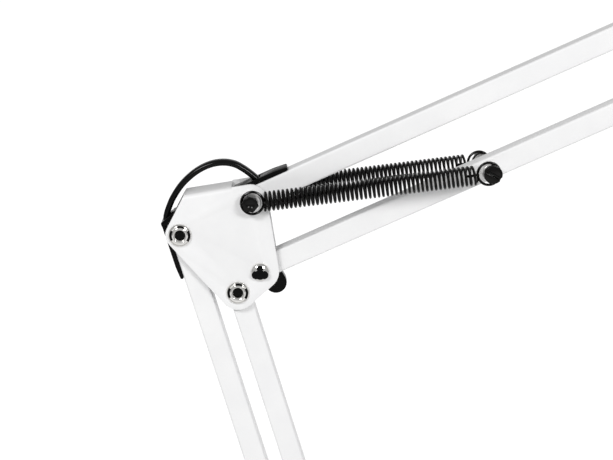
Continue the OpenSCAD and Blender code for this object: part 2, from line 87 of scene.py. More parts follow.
# ---- Studio ----
# Pale paper under the lamp, an even soft surround and two broad softboxes in front of it, left and
# right. The paper brightens towards the back, so it runs out into plain white behind the arms.
scene = bpy.context.scene
scene.view_settings.view_transform = "Standard"
surround = bpy.data.worlds.new("soft_surround")
surround.use_nodes = True
surround_glow = surround.node_tree.nodes["Background"]
surround_glow.inputs["Color"].default_value = (1, 1, 1, 1)
surround_strength = 0.45
surround_glow.inputs["Strength"].default_value = surround_strength
scene.world = surround
box_width = 0.7
box_height = 0.5
box_power = 22


def softbox(name, place):
    """A broad soft light at a place, turned to the elbow."""
    bpy.ops.object.light_add(type="AREA", location=place)
    light = bpy.context.object
    light.name = name
    light.data.shape = "RECTANGLE"
    light.data.size, light.data.size_y = box_width, box_height
    light.data.energy = box_power
    light.rotation_euler = (elbow_top - Vector(place)).to_track_quat("-Z", "Y").to_euler()


softbox("left_softbox", (-1.1, -2.0, 1.7))
softbox("right_softbox", (0.9, -2.2, 1.5))


def nodes_of(name):
    """A new node material and its tree, with the shader in it."""
    material = bpy.data.materials.new(name)
    material.use_nodes = True
    return material, material.node_tree, material.node_tree.nodes["Principled BSDF"]


def wire_up(tree, kind, **values):
    """A node of that kind with its inputs set by name."""
    node = tree.nodes.new(kind)
    for key, value in values.items():
        node.inputs[key.replace("_", " ")].default_value = value
    return node


paper, paper_tree, paper_shader = nodes_of("studio_paper")
paper_shader.inputs["Base Color"].default_value = (0.8, 0.8, 0.8, 1)
paper_shader.inputs["Roughness"].default_value = 0.9
paper_shader.inputs["Specular IOR Level"].default_value = 0.1
paper_shader.inputs["Emission Color"].default_value = (1, 1, 1, 1)
paper_place = paper_tree.nodes.new("ShaderNodeTexCoord")
paper_split = paper_tree.nodes.new("ShaderNodeSeparateXYZ")
paper_glow = wire_up(paper_tree, "ShaderNodeMapRange", From_Min=0.1, From_Max=0.95, To_Min=0.0,
                     To_Max=0.7)
paper_tree.links.new(paper_place.outputs["Object"], paper_split.inputs["Vector"])
paper_tree.links.new(paper_split.outputs["Y"], paper_glow.inputs["Value"])
paper_tree.links.new(paper_glow.outputs["Result"], paper_shader.inputs["Emission Strength"])
paper_size = 120
bpy.ops.mesh.primitive_plane_add(size=paper_size)
floor = bpy.context.object
floor.name = "studio_floor"
floor.data.materials.append(paper)


# ---- Cord ----
# Black flat twin flex: two cores side by side under one smooth soft plastic sheath. It runs inside
# the tubes and comes out in a slack loop past each joint, so the arms swing without pulling on it.
def mixed_finish(name, first, second, size, rough, grain=0.0, grain_size=0.0002, metal=0.0,
                 gloss=0.5, stretch=(1, 1, 1)):
    """A finish whose colour drifts from first to second in patches, with a fine grain on top."""
    material, tree, shader = nodes_of(name)
    link = tree.links.new
    place = tree.nodes.new("ShaderNodeTexCoord")
    turn = tree.nodes.new("ShaderNodeMapping")
    turn.inputs["Scale"].default_value = stretch
    link(place.outputs["Object"], turn.inputs["Vector"])
    patches = wire_up(tree, "ShaderNodeTexNoise", Scale=1 / size, Detail=4.0, Roughness=0.6)
    link(turn.outputs["Vector"], patches.inputs["Vector"])
    tint = tree.nodes.new("ShaderNodeValToRGB")
    tint.color_ramp.elements[0].position = 0.3
    tint.color_ramp.elements[0].color = (*first, 1)
    tint.color_ramp.elements[1].position = 0.7
    tint.color_ramp.elements[1].color = (*second, 1)
    link(patches.outputs["Fac"], tint.inputs["Fac"])
    link(tint.outputs["Color"], shader.inputs["Base Color"])
    polish = wire_up(tree, "ShaderNodeMapRange", To_Min=rough[0], To_Max=rough[1])
    link(patches.outputs["Fac"], polish.inputs["Value"])
    link(polish.outputs["Result"], shader.inputs["Roughness"])
    if grain:
        dots = wire_up(tree, "ShaderNodeTexNoise", Scale=1 / grain_size, Detail=2.0)
        link(turn.outputs["Vector"], dots.inputs["Vector"])
        bump = wire_up(tree, "ShaderNodeBump", Strength=grain, Distance=grain_size * 0.5)
        link(dots.outputs["Fac"], bump.inputs["Height"])
        link(bump.outputs["Normal"], shader.inputs["Normal"])
    shader.inputs["Metallic"].default_value = metal
    shader.inputs["Specular IOR Level"].default_value = gloss
    return material


sheath = mixed_finish("cord_sheath", (0.0015, 0.0015, 0.0015), (0.003, 0.003, 0.003), 0.004,
                      (0.12, 0.18), grain=0.06, grain_size=0.0003, gloss=0.16)
cord_width = 0.0054
cord_thick = 0.0031
cord_ring = 16
waist_depth = 0.12
waist_spread = 2.2
route_steps = 4


def curve_through(points, steps):
    """Points on a smooth line through the given ones, with that many steps between two of them."""
    pts = [Vector(p) for p in points]
    line = []
    for i in range(len(pts) - 1):
        a, b = pts[max(i - 1, 0)], pts[i]
        c, d = pts[i + 1], pts[min(i + 2, len(pts) - 1)]
        for k in range(steps):
            t = k / steps
            line.append(0.5 * (2 * b + (c - a) * t + (2 * a - 5 * b + 4 * c - d) * t * t
                               + (3 * b - a - 3 * c + d) * t ** 3))
    return line + [pts[-1]]


def length_of(line):
    return sum((b - a).length for a, b in zip(line, line[1:]))


def middle_of(line):
    """The point nearest to half way along a line."""
    half = length_of(line) / 2
    return min(range(len(line)), key=lambda i: abs(length_of(line[: i + 1]) - half))


def flat_section(width, thick, count):
    """Points round a flat cord: two half circles joined, with a shallow waist between the cores."""
    shape = []
    for k in range(count):
        a = math.tau * (k + 0.5) / count
        side = math.copysign((width - thick) / 2, math.cos(a))
        x = side + thick / 2 * math.cos(a)
        waist = 1 - waist_depth * max(0.0, 1 - abs(math.cos(a)) * waist_spread)
        shape.append((x, thick / 2 * math.sin(a) * waist))
    return shape


def tube_along(name, line, across, section, first=0, last=None):
    """A closed tube that carries a section along a line, or from one of its points to another."""
    last = len(line) - 1 if last is None else last
    vertices, faces, n = [], [], len(section)
    for i in range(first, last + 1):
        ahead = (line[min(i + 1, len(line) - 1)] - line[max(i - 1, 0)]).normalized()
        side = across(i)
        side = (side - ahead * side.dot(ahead)).normalized()
        up = ahead.cross(side)
        vertices += [line[i] + side * x + up * y for x, y in section]
    for i in range(last - first):
        for k in range(n):
            j = (k + 1) % n
            faces.append((i * n + k, i * n + j, i * n + n + j, i * n + n + k))
    faces.append(tuple(range(n - 1, -1, -1)))
    faces.append(tuple(range(len(vertices) - n, len(vertices))))
    mesh = bpy.data.meshes.new(name)
    mesh.from_pydata([tuple(v) for v in vertices], [], faces)
    mesh.update()
    piece = bpy.data.objects.new(name, mesh)
    bpy.context.collection.objects.link(piece)
    for polygon in mesh.polygons:
        polygon.use_smooth = len(polygon.vertices) == 4
    for edge in mesh.edges:
        edge.use_edge_sharp = max(edge.vertices) < n or min(edge.vertices) >= len(vertices) - n
    return piece


def loop_cord(name, line, first, last, nodes):
    """A stretch of cord between two points of a line, from one body to the next."""
    piece = tube_along(name, line, lambda i: Vector((0, 1, 0)),
                       flat_section(cord_width, cord_thick, cord_ring), first, last)
    piece.data.materials.append(sheath)
    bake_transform(piece)
    if nodes:
        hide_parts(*nodes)


millimetre = 0.001


def route_from(origin, places):
    """Millimetre places in the arms' plane, measured from a pivot."""
    return [origin + Vector((x, 0, z)) * millimetre for x, z in places]


elbow_route = [(-35.6, -17.5), (-37.3, -13.8), (-38.3, -11), (-38.4, -8.5), (-37.2, -4.5),
               (-34.9, 0.5), (-30.7, 6.5), (-24.7, 11.8), (-18.4, 15), (-12.5, 16), (-7.3, 15.2),
               (-3, 12.9), (0.6, 10.2), (3, 8.2), (6.6, 5.6)]
foot_route = [(-2.4, -6), (-2, -9), (-1, -15), (1.4, -21.5), (5, -28), (9, -34), (11.9, -40),
              (12.85, -46), (12.85, -50)]
head_route = [(-8.1, 1.8), (-7.8, 4.3), (-6.8, 11), (-2.5, 20), (6, 27), (17, 30), (29, 29),
              (40, 24), (49, 15), (54.5, 4), (56.8, -9), (57, -22), (57, -32), (57, -41)]
elbow_line = curve_through(route_from(elbow_top, elbow_route), route_steps)
elbow_mid = middle_of(elbow_line)
loop_cord("elbow_cord_lower", elbow_line, 0, elbow_mid, ["elbow_cord"])
loop_cord("elbow_cord_upper", elbow_line, elbow_mid, len(elbow_line) - 1, [])
foot_line = curve_through(route_from(foot_pivot, foot_route), route_steps)
foot_line.reverse()
loop_cord("foot_cord_loop", foot_line, 0, len(foot_line) - 1, ["foot_cord"])
head_line = curve_through(route_from(head_pivot, head_route), route_steps)
head_mid = middle_of(head_line)
loop_cord("head_cord_arm", head_line, 0, head_mid, ["head_cord"])
loop_cord("head_cord_shade", head_line, head_mid, len(head_line) - 1, [])

# ---- Mains lead ----
# The same flat cord on the table behind the base. It leaves through the gland, winds flat into a
# coil of two layers held by a strap, and comes out at the side to a moulded plug. Millimetres.
lead_out = [(0, 134, 9), (0, 143, 8), (1.5, 152, 5.5), (7, 161, 3), (16, 167.5, 1.8),
            (28, 170, 1.6), (42, 170, 1.6), (56, 170, 1.6), (70, 170, 1.6), (84, 170, 2),
            (98, 170, 2.8)]
lead_in = [(151, 122, 8.2), (151, 108, 5), (151, 96, 2.2), (151, 84, 2.2), (151, 74, 4.7),
           (151, 64.6, 6.8)]
coil_centre = (113.4, 132.4)
coil_outer = 37.6
coil_inner = 24.4
coil_floor = 3.5
coil_layer = 5.5
turns_per_layer = 4
points_per_turn = 24
step_up = 0.25
coil_turns = 2 * turns_per_layer + step_up


def coil_point(turn):
    """A place in the coil: the first layer winds inwards, the second one out again on top of it."""
    angle = math.radians(90) - math.tau * turn
    inwards = min(turn, turns_per_layer)
    outwards = max(0.0, turn - turns_per_layer - step_up)
    radius = coil_outer - (coil_outer - coil_inner) * (inwards - outwards) / turns_per_layer
    climb = min(max((turn - turns_per_layer + 0.1) / 0.45, 0), 1)
    height = coil_floor + coil_layer * climb * climb * (3 - 2 * climb)
    return (coil_centre[0] + radius * math.cos(angle), coil_centre[1] + radius * math.sin(angle),
            height)


coil_count = int(coil_turns * points_per_turn) + 1
coil_points = [coil_point(k / points_per_turn) for k in range(coil_count)]
lead_places = lead_out + coil_points + lead_in
lead_steps = 3
lead_line = curve_through([Vector(p) * millimetre for p in lead_places], lead_steps)


def lead_side(i):
    """The cord lies flat on the table and stands on edge in the coil; it turns in between."""
    k = i / lead_steps
    rise = min(max((k - len(lead_out) + 6) / 5, 0), 1)
    fall = min(max((k - len(lead_out) - len(coil_points) + 0.5) / 3, 0), 1)
    stand = math.radians(90) * (rise - fall)
    ahead = lead_line[min(i + 1, len(lead_line) - 1)] - lead_line[max(i - 1, 0)]
    level = Vector((0, 0, 1)).cross(ahead).normalized()
    return level * math.cos(stand) + Vector((0, 0, 1)) * math.sin(stand)


lead = tube_along("mains_cord", lead_line, lead_side, flat_section(cord_width, cord_thick, 12))
lead.data.materials.append(sheath)
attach(lead, "base")
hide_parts("mains_lead", "lead_coil")


# ---- Small shop ----
# How the metal and plastic pieces below are turned, cut, rounded, mirrored and painted. Each piece
# ends up at the origin with its shape in place, and then goes to the body it is fixed to.
def only(piece):
    """Makes the piece the one that is selected and active."""
    bpy.ops.object.select_all(action="DESELECT")
    piece.select_set(True)
    bpy.context.view_layer.objects.active = piece


def faced_out(piece):
    """Ends an edit of a closed piece with all its faces turned outwards."""
    bpy.ops.mesh.select_all(action="SELECT")
    bpy.ops.mesh.normals_make_consistent(inside=False)
    bpy.ops.object.mode_set(mode="OBJECT")
    return piece


def settle(piece):
    """Puts the piece's place, turn and size into its mesh."""
    only(piece)
    bpy.ops.object.transform_apply(location=True, rotation=True, scale=True)
    return piece


def apply_modifier(piece, kind, **values):
    """Adds one modifier with the values given and makes it part of the mesh."""
    only(piece)
    modifier = piece.modifiers.new(kind.lower(), kind)
    for key, value in values.items():
        setattr(modifier, key, value)
    bpy.ops.object.modifier_apply(modifier=modifier.name)
    return piece


def cut_with(piece, tool, how="DIFFERENCE"):
    """Cuts the piece with another one, which is used up."""
    apply_modifier(piece, "BOOLEAN", object=tool, operation=how, solver="EXACT")
    bpy.data.objects.remove(tool)
    return piece


def round_edges(piece, width, segments=2, angle=40):
    """Rounds every edge that is sharper than that angle."""
    return apply_modifier(piece, "BEVEL", width=width, segments=segments, limit_method="ANGLE",
                          angle_limit=math.radians(angle), use_clamp_overlap=True)


def finished(piece, name, material, body, nodes=(), smooth=35):
    """Names, shades and paints a piece and hands it to its body."""
    only(piece)
    bpy.ops.object.shade_smooth_by_angle(angle=math.radians(smooth))
    piece.name = name
    piece.data.name = name
    piece.data.materials.clear()
    piece.data.materials.append(material)
    if body:
        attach(piece, body)
    if nodes:
        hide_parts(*nodes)
    return piece


def softened(node, width, segments=2, angle=40):
    """A copy of a frame node as one clean shell with its sharp edges rounded."""
    piece = frame["nodes"][node].copy()
    piece.data = piece.data.copy()
    piece.parent = None
    for key in list(piece.keys()):
        del piece[key]
    bpy.context.collection.objects.link(piece)
    only(piece)
    bpy.ops.object.mode_set(mode="EDIT")
    bpy.ops.mesh.select_all(action="SELECT")
    bpy.ops.mesh.remove_doubles(threshold=2e-6)
    bpy.ops.mesh.dissolve_limited(angle_limit=math.radians(0.5))
    bpy.ops.object.mode_set(mode="OBJECT")
    if width:
        round_edges(piece, width, segments, angle)
    return piece


def rod(centre, radius, y0, y1, sides=40):
    """A plain rod or cutter along Y."""
    bpy.ops.mesh.primitive_cylinder_add(vertices=sides, radius=radius, depth=y1 - y0,
                                        location=(centre[0], (y0 + y1) / 2, centre[2]),
                                        rotation=(math.radians(90), 0, 0))
    return settle(bpy.context.object)


def turned(profile, sides=48):
    """A piece turned on Z from (radius, height) steps, each ring extruded from the one before."""
    radius, height = profile[0]
    bpy.ops.mesh.primitive_circle_add(vertices=sides, radius=radius, location=(0, 0, height))
    piece = settle(bpy.context.object)
    bpy.ops.object.mode_set(mode="EDIT")
    bpy.ops.mesh.select_all(action="SELECT")
    for (r0, h0), (r1, h1) in zip(profile, profile[1:]):
        bpy.ops.mesh.extrude_edges_move(TRANSFORM_OT_translate={"value": (0, 0, h1 - h0)})
        bpy.ops.transform.resize(value=(r1 / r0, r1 / r0, 1), center_override=(0, 0, h1))
    bpy.ops.mesh.select_all(action="SELECT")
    bpy.ops.mesh.remove_doubles(threshold=1e-6)
    bpy.ops.mesh.fill_holes(sides=0)
    return faced_out(piece)


def set_at(piece, place, facing="front", turn=0.0):
    """Moves a turned piece so that its Z points to the front or the back from a place."""
    lean = math.radians(90 if facing == "front" else -90)
    piece.data.transform(Matrix.Translation(place) @ Matrix.Rotation(lean, 4, "X")
                         @ Matrix.Rotation(math.radians(turn), 4, "Z"))
    return piece


def joined(pieces):
    """Several shells as one piece."""
    bpy.ops.object.select_all(action="DESELECT")
    for p in pieces:
        p.select_set(True)
    bpy.context.view_layer.objects.active = pieces[0]
    bpy.ops.object.join()
    return bpy.context.object


def mirrored_pair(piece):
    """The piece and its mirror image across the arms' plane, as one."""
    other = piece.copy()
    other.data = piece.data.copy()
    bpy.context.collection.objects.link(other)
    other.data.transform(Matrix.Scale(-1, 4, (0, 1, 0)))
    other.data.flip_normals()
    return joined([piece, other])


# ---- Tubes ----
# Four lengths of thin square steel tube, powder coated white inside and out. They are open at the
# ends and drilled across for the bolts and rivets; the main tubes are slotted for the cord.
white_coat = mixed_finish("white_powder_coat", (0.83, 0.83, 0.835), (0.87, 0.87, 0.87), 0.02,
                          (0.3, 0.42), grain=0.06, grain_size=0.0004, gloss=0.35)
for tube_node, tube_body in (("lower_main_tube", "lower_arm"), ("lower_link_tube", "lower_link"),
                             ("upper_main_tube", "upper_arm"), ("upper_link_tube", "upper_link")):
    finished(softened(tube_node, 0), tube_node + "_coated", white_coat, tube_body, [tube_node])


# ---- Brackets ----
# Foot, elbow and head: 1.5 mm steel sheet, blanked, folded into a U round the tubes and powder
# coated white. A short web along one edge ties the two cheeks; the fold is round outside.
plate_out = 0.009
plate_in = 0.0075
sheet = 0.0015
fold_round = 0.0022
edge_round = 0.00028
bolt_hole = 0.00255
rivet_bore = 0.00305
end_round = 0.008


def outline_round(circles):
    """Outline round a clockwise list of circles (x, z, r), its arcs in steps of about 8 degrees."""
    def normal(a, b):
        dx, dz = b[0] - a[0], b[1] - a[1]
        return math.atan2(dz, dx) + math.acos((a[2] - b[2]) / math.hypot(dx, dz))
    points, n = [], len(circles)
    for i, c in enumerate(circles):
        start, end = normal(circles[i - 1], c), normal(c, circles[(i + 1) % n])
        turn = (start - end) % math.tau
        steps = max(1, math.ceil(math.degrees(turn) / 8))
        angles = [start - turn * k / steps for k in range(steps + 1)]
        points.append([(c[0] + c[2] * math.cos(a), c[1] + c[2] * math.sin(a)) for a in angles])
    return points


def pulled_out(places, way):
    """A disc whose rim is moved to the given places and then extruded that way."""
    bpy.ops.mesh.primitive_circle_add(vertices=len(places), radius=1, fill_type="NGON")
    blank = bpy.context.object
    for vertex, place in zip(blank.data.vertices, places):
        vertex.co = place
    only(blank)
    bpy.ops.object.mode_set(mode="EDIT")
    bpy.ops.mesh.select_all(action="SELECT")
    bpy.ops.mesh.extrude_region_move(TRANSFORM_OT_translate={"value": way})
    return faced_out(blank)


def slab(points, y0, y1):
    """A sheet-metal blank: an outline in X and Z with its thickness along Y."""
    return pulled_out([(x, y0, z) for x, z in points], (0, y1 - y0, 0))


def folded_bracket(circles, edge, web_from, web_to, holes):
    """A U bracket: its web runs along the edge after circle `edge`, between two distances."""
    arcs = outline_round(circles)
    start = Vector(arcs[edge][-1])
    along = (Vector(arcs[(edge + 1) % len(arcs)][0]) - start).normalized()
    outward = Vector((-along.y, along.x))
    piece = slab([p for arc in arcs for p in arc], -plate_out, plate_out)
    inside = [(-0.09, 0.03), (web_from, 0.03), (web_from, -sheet), (web_to, -sheet), (web_to, 0.03),
              (0.09, 0.03), (0.09, -0.09), (-0.09, -0.09)]
    inside = [tuple(start + along * u + outward * v) for u, v in inside]
    cut_with(piece, slab(inside, -plate_in, plate_in))
    for side in (-1, 1):
        cut_with(piece, fold_cutter(start, along, outward, web_from - 0.001, web_to, side))
    for centre, radius in holes:
        cut_with(piece, rod(centre, radius, -0.02, 0.02))
    return round_edges(piece, edge_round, 2, 35)


def fold_cutter(start, along, outward, low, high, side):
    """A bar with one hollow corner, which rounds the outside of a fold."""
    middle, spare = plate_out - fold_round, 0.002
    angles = [math.radians(a) for a in range(0, 91, 15)]
    arc = [(-fold_round + fold_round * math.sin(a), middle + fold_round * math.cos(a))
           for a in angles]
    corner = arc + [(spare, middle), (spare, plate_out + spare), (-fold_round, plate_out + spare)]
    places = []
    for v, y in corner:
        place = start + along * low + outward * v
        places.append((place.x, side * y, place.y))
    reach = along * (high - low)
    return pulled_out(places, (reach.x, 0, reach.y))


def disc_at(centre, radius):
    """A round corner of a bracket's outline."""
    return (centre.x, centre.z, radius)


corner_back = 0.0284
corner_up = 0.0009
corner_round = 0.002
elbow_corner = (elbow_top.x - corner_back, elbow_top.z + corner_up, corner_round)
elbow_plate = [elbow_corner, disc_at(elbow_top, 0.0073), disc_at(elbow_top + upper_offset, 0.0086),
               disc_at(elbow_foot, 0.0082), disc_at(elbow_side, 0.0066)]
elbow_holes = [(elbow_top, bolt_hole), (elbow_top + upper_offset, bolt_hole),
               (elbow_side, rivet_bore), (elbow_foot, rivet_bore)]
finished(folded_bracket(elbow_plate, 0, -0.0035, 0.0204, elbow_holes), "elbow_plate", white_coat,
         "elbow", ["elbow_bracket"])

head_plate = [disc_at(p, end_round) for p in (head_pivot, tilt_pivot, head_foot)]
head_holes = [(head_pivot, rivet_bore), (head_foot, rivet_bore), (tilt_pivot, bolt_hole)]
finished(folded_bracket(head_plate, 0, 0.014, 0.034, head_holes), "head_plate", white_coat, "head",
         ["head_bracket"])

foot_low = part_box("foot_bracket")[0][2]
foot_half = 0.014
foot_corner = 0.002
pin_bore = 0.0035
foot_plate = [disc_at(foot_pivot, end_round), disc_at(foot_pivot + lower_offset, end_round),
              (foot_half, foot_low + foot_corner, foot_corner),
              (-foot_half, foot_low + foot_corner, foot_corner)]
foot_holes = [(foot_pivot, bolt_hole), (foot_pivot + lower_offset, bolt_hole)]
foot_piece = folded_bracket(foot_plate, 2, -0.003, 0.031, foot_holes)
bpy.ops.mesh.primitive_cylinder_add(vertices=40, radius=pin_bore, depth=0.01,
                                    location=(0, 0, foot_low))
foot_piece = cut_with(foot_piece, settle(bpy.context.object))
finished(foot_piece, "foot_plate", white_coat, "foot", ["foot_bracket"])

# ---- Saddles, tube plugs and knobs ----
# Moulded black plastic with a light shine. The saddles close the main tubes and guide the cord, the
# plugs are pressed into the link tubes, and the knobs behind clamp each joint by hand.
black_plastic = mixed_finish("black_moulding", (0.0015, 0.0015, 0.0015), (0.003, 0.003, 0.003),
                             0.006, (0.16, 0.26), grain=0.1, grain_size=0.0003, gloss=0.09)
for saddle_node, saddle_body in (("lower_saddles", "lower_arm"), ("upper_saddles", "upper_arm")):
    finished(softened(saddle_node, 0.0003), saddle_node + "_moulded", black_plastic, saddle_body,
             [saddle_node])
for plug_node, plug_body in (("lower_link_plugs", "lower_link"),
                             ("upper_link_plugs", "upper_link")):
    finished(softened(plug_node, 0.00035), plug_node + "_moulded", black_plastic, plug_body,
             [plug_node])
for knob_node in ("foot_knob", "elbow_knob", "head_knob"):
    finished(softened(knob_node, 0.0011, 4, 50), knob_node + "_moulded", black_plastic, knob_node,
             [knob_node])

# ---- Long spring bolts ----
# One black oxide steel bolt through both plates at the foot and at the elbow, with a low hex head
# outside each spring eye. Bright zinc bushes, part hexagon and part flange, stand on the plates.
black_oxide = mixed_finish("black_oxide_steel", (0.0015, 0.0015, 0.0015), (0.004, 0.0035, 0.003),
                           0.002, (0.12, 0.2), grain=0.08, grain_size=0.0004, gloss=0.2)
zinc = mixed_finish("bright_zinc", (0.82, 0.81, 0.8), (0.93, 0.92, 0.91), 0.003, (0.24, 0.38),
                    grain=0.08, grain_size=0.0005, metal=1.0)
spring_side = 0.0145
bush_face = 0.0133
bolt_face = 0.0154
bolt_head = 0.0024
bolt_radius = 0.0025
head_across = 0.0066
nut_across = 0.008
nut_depth = 0.003
flange_radius = 0.0046
flange_bore = 0.00256


def hexagon(across, depth, hole=0.0):
    """A hexagon along Z from 0 to depth with turned corners, bored through if it is a nut."""
    corner = across / 2 / math.cos(math.radians(30))
    bpy.ops.mesh.primitive_cylinder_add(vertices=6, radius=corner, depth=depth,
                                        location=(0, 0, depth / 2))
    piece = settle(bpy.context.object)
    chamfer = (corner - across / 2) * 0.6
    face, side = across * 0.49, corner * 1.01
    barrel = turned([(face, -1e-5), (side, chamfer), (side, depth - chamfer), (face, depth + 1e-5)])
    cut_with(piece, barrel, "INTERSECT")
    if hole:
        bore = turned([(hole, -0.001), (hole, depth + 0.001)], 32)
        cut_with(piece, bore)
    return piece


def spring_bolt(centre):
    """One bolt through both plates, with a dished hex head on each end."""
    shank = rod(centre, bolt_radius, -bolt_face, bolt_face)
    head = round_edges(hexagon(head_across, bolt_head), 0.00025)
    dish = turned([(0.0021, bolt_head + 0.001), (0.0021, bolt_head - 0.0004),
                   (0.0012, bolt_head - 0.001)], 32)
    cut_with(head, dish)
    set_at(head, (centre.x, -bolt_face, centre.z), "front", 20)
    return joined([shank, mirrored_pair(head)])


def spring_bushes(centre):
    """A hexagon against each plate with a round flange outside it, under the spring's eye."""
    nut = round_edges(hexagon(nut_across, nut_depth, bolt_hole), 0.0002)
    end = bush_face - plate_out
    flange = turned([(flange_bore, nut_depth), (flange_radius, nut_depth),
                     (flange_radius, end - 0.0003), (flange_radius - 0.0003, end),
                     (flange_bore, end), (flange_bore, nut_depth)])
    return mirrored_pair(set_at(joined([nut, flange]), (centre.x, -plate_out, centre.z)))


for bolt_centre, bolt_body, bolt_name in ((elbow_top, "elbow", "elbow_spring"),
                                          (foot_pivot, "foot", "foot_spring")):
    finished(spring_bolt(bolt_centre), bolt_name + "_bolt_hex", black_oxide, bolt_body,
             [bolt_name + "_bolt"])
    finished(spring_bushes(bolt_centre), bolt_name + "_bushes_hex", zinc, bolt_body,
             [bolt_name + "_bushes"])

# ---- Tubular rivets ----
# Nickel plated steel, rolled over on both plates. The flange has a round rim, a raised nose round
# the bore and three curved slots. A black ring behind the slots and a black disc down the bore are
# painted shade in them.
nickel = mixed_finish("bright_nickel", (0.8, 0.79, 0.77), (0.9, 0.89, 0.87), 0.002, (0.06, 0.14),
                      metal=1.0)
rivet_hole = 0.0023
rivet_flange = 0.0052
rivet_tube = 0.003
slot_inner = 0.00366
slot_floor = 0.0002
# The black ring under the slots is painted shade; these are its radii.
painted_shade_inner = 0.0035
painted_shade_outer = 0.0049
slot_spans = ((-38, 30, 0.00475), (60, 106, 0.00455), (148, 212, 0.00475))


def arc_cutter(inner, outer, low, high, depth):
    """A curved bar along Z that cuts one slot of a ring."""
    steps = 10
    angles = [math.radians(low + (high - low) * k / steps) for k in range(steps + 1)]
    ring = [(outer * math.cos(a), outer * math.sin(a)) for a in angles]
    ring += [(inner * math.cos(a), inner * math.sin(a)) for a in reversed(angles)]
    bar = slab(ring, 0, depth)
    bar.data.transform(Matrix.Scale(-1, 4, (0, 0, 1)) @ Matrix.Rotation(math.radians(-90), 4, "X"))
    bar.data.flip_normals()
    return bar


def rivet_cap():
    """The front of a rivet on Z: a bored nose, a slotted web and a rounded rim."""
    cap = turned([(rivet_hole, 0), (rivet_flange, 0), (rivet_flange + 0.0001, 0.0004),
                  (0.0051, 0.0009), (0.0047, 0.0012), (0.0043, 0.0008), (0.0038, 0.0008),
                  (0.0036, 0.0013), (0.003, 0.0015), (0.0026, 0.0013), (rivet_hole, 0.0009),
                  (rivet_hole, 0)], 64)
    for low, high, outer in slot_spans:
        bar = arc_cutter(slot_inner, outer, low, high, 0.003)
        bar_low = min(v.co.z for v in bar.data.vertices)
        bar.data.transform(Matrix.Translation((0, 0, slot_floor - bar_low)))
        cut_with(cap, bar)
    return cap


def tubular_rivet(centre):
    """Caps on both plates and the tube between them."""
    barrel = turned([(rivet_hole, -plate_out), (rivet_tube, -plate_out), (rivet_tube, plate_out),
                     (rivet_hole, plate_out), (rivet_hole, -plate_out)], 40)
    set_at(barrel, centre)
    cap = set_at(rivet_cap(), (centre.x, -plate_out, centre.z))
    return joined([barrel, mirrored_pair(cap)])


def rivet_painted_shade(centre):
    """Painted shade: a black ring behind the rivet's slots and a black disc down its bore."""
    disc = turned([(painted_shade_inner, 0.0001), (painted_shade_outer, 0.0001), (painted_shade_outer, 0.0004),
                   (painted_shade_inner, 0.0004), (painted_shade_inner, 0.0001)], 48)
    core = turned([(rivet_hole * 0.97, -0.0011), (rivet_hole * 0.97, -0.0006)], 32)
    return mirrored_pair(set_at(joined([disc, core]), (centre.x, -plate_out, centre.z)))


for rivet_node, rivet_body, rivet_places in (("elbow_rivets", "elbow", (elbow_side, elbow_foot)),
                                             ("head_rivets", "head", (head_pivot, head_foot))):
    finished(joined([tubular_rivet(p) for p in rivet_places]), rivet_node + "_nickel", nickel,
             rivet_body, [rivet_node])
    # Black rings and bore discs: painted shade in the rivets' slots and bores.
    finished(joined([rivet_painted_shade(p) for p in rivet_places]), rivet_node + "_painted_shade", black_plastic,
             rivet_body)

# ---- Knob bolts ----
# A domed nickel head against the front plate, with a black three-lobed patch on it that is a
# painted dark reflection. The shank passes through both plates and the tube and is threaded into
# the knob behind.
dome_radius = 0.0043
dome_height = 0.0024
dome_wall = 0.0006
shank_end = 0.0155


def dome_bolt(centre):
    """A domed head with a short upright wall, and its shank."""
    angles = [math.radians(a) for a in range(0, 80, 12)]
    rise = [(dome_radius * math.cos(a), dome_wall + (dome_height - dome_wall) * math.sin(a))
            for a in angles]
    dome = turned([(dome_radius, 0)] + rise, 56)
    set_at(dome, (centre.x, -plate_out, centre.z))
    shank = rod(centre, bolt_radius, -plate_out, shank_end)
    return joined([dome, shank])


def lobed_painted_reflection(centre):
    """A painted dark reflection on the dome: three lobes, one on top and two broad ones at the
    sides.
    """
    lobes = [(0, 0.002, 0.0015), (0.0019, -0.0009, 0.0019), (-0.0019, -0.0009, 0.0019),
             (0, -0.0008, 0.0023)]
    face = -plate_out - dome_height + 0.0002
    parts = []
    for x, z, r in lobes:
        lobe = turned([(r, 0), (r, 0.0003), (r * 0.9, 0.0005)], 32)
        parts.append(set_at(lobe, (centre.x + x, face, centre.z + z)))
    body = parts[0]
    for other in parts[1:]:
        cut_with(body, other, "UNION")
    return body


for bolt_node, bolt_body, bolt_centre in (("elbow_link_bolt", "elbow", elbow_top + upper_offset),
                                          ("foot_link_bolt", "foot", foot_pivot + lower_offset),
                                          ("tilt_bolt", "head", tilt_pivot)):
    finished(dome_bolt(bolt_centre), bolt_node + "_domed", nickel, bolt_body, [bolt_node])
    # The black lobes are a painted dark reflection on the domed head.
    finished(lobed_painted_reflection(bolt_centre), bolt_node + "_insert", black_plastic, bolt_body)

# ---- Tube bolts and spacers ----
# The springs' far ends hang on a black steel bolt across each link tube, with slotted heads outside
# the eyes and turned zinc spacers between the eyes and the tube.
for arm in ("lower", "upper"):
    bolt_node, spacer_node = arm + "_spring_bolt", arm + "_spring_spacers"
    finished(softened(bolt_node, 0.00035, 3), bolt_node + "_slotted", black_oxide, arm + "_link",
             [bolt_node])
    finished(softened(spacer_node, 0.0003), spacer_node + "_turned", zinc, arm + "_link",
             [spacer_node])

# ---- Springs ----
# Two long extension springs on each arm, wound from oiled black wire, with an eye on each end that
# hangs on its bolt with a little slack. The far eye is a separate wire, with a stem inside the
# coil's last turns; it turns with its bolt.
wire = 0.0006
coil_radius = 0.00405
eye_radius = 0.005
near_slack = 0.0009
far_slack = 0.0014
coil_start = 0.0062
coil_end = 0.0077
stem_reach = 0.0045
coil_turn_count = 48
wire_sides = 8


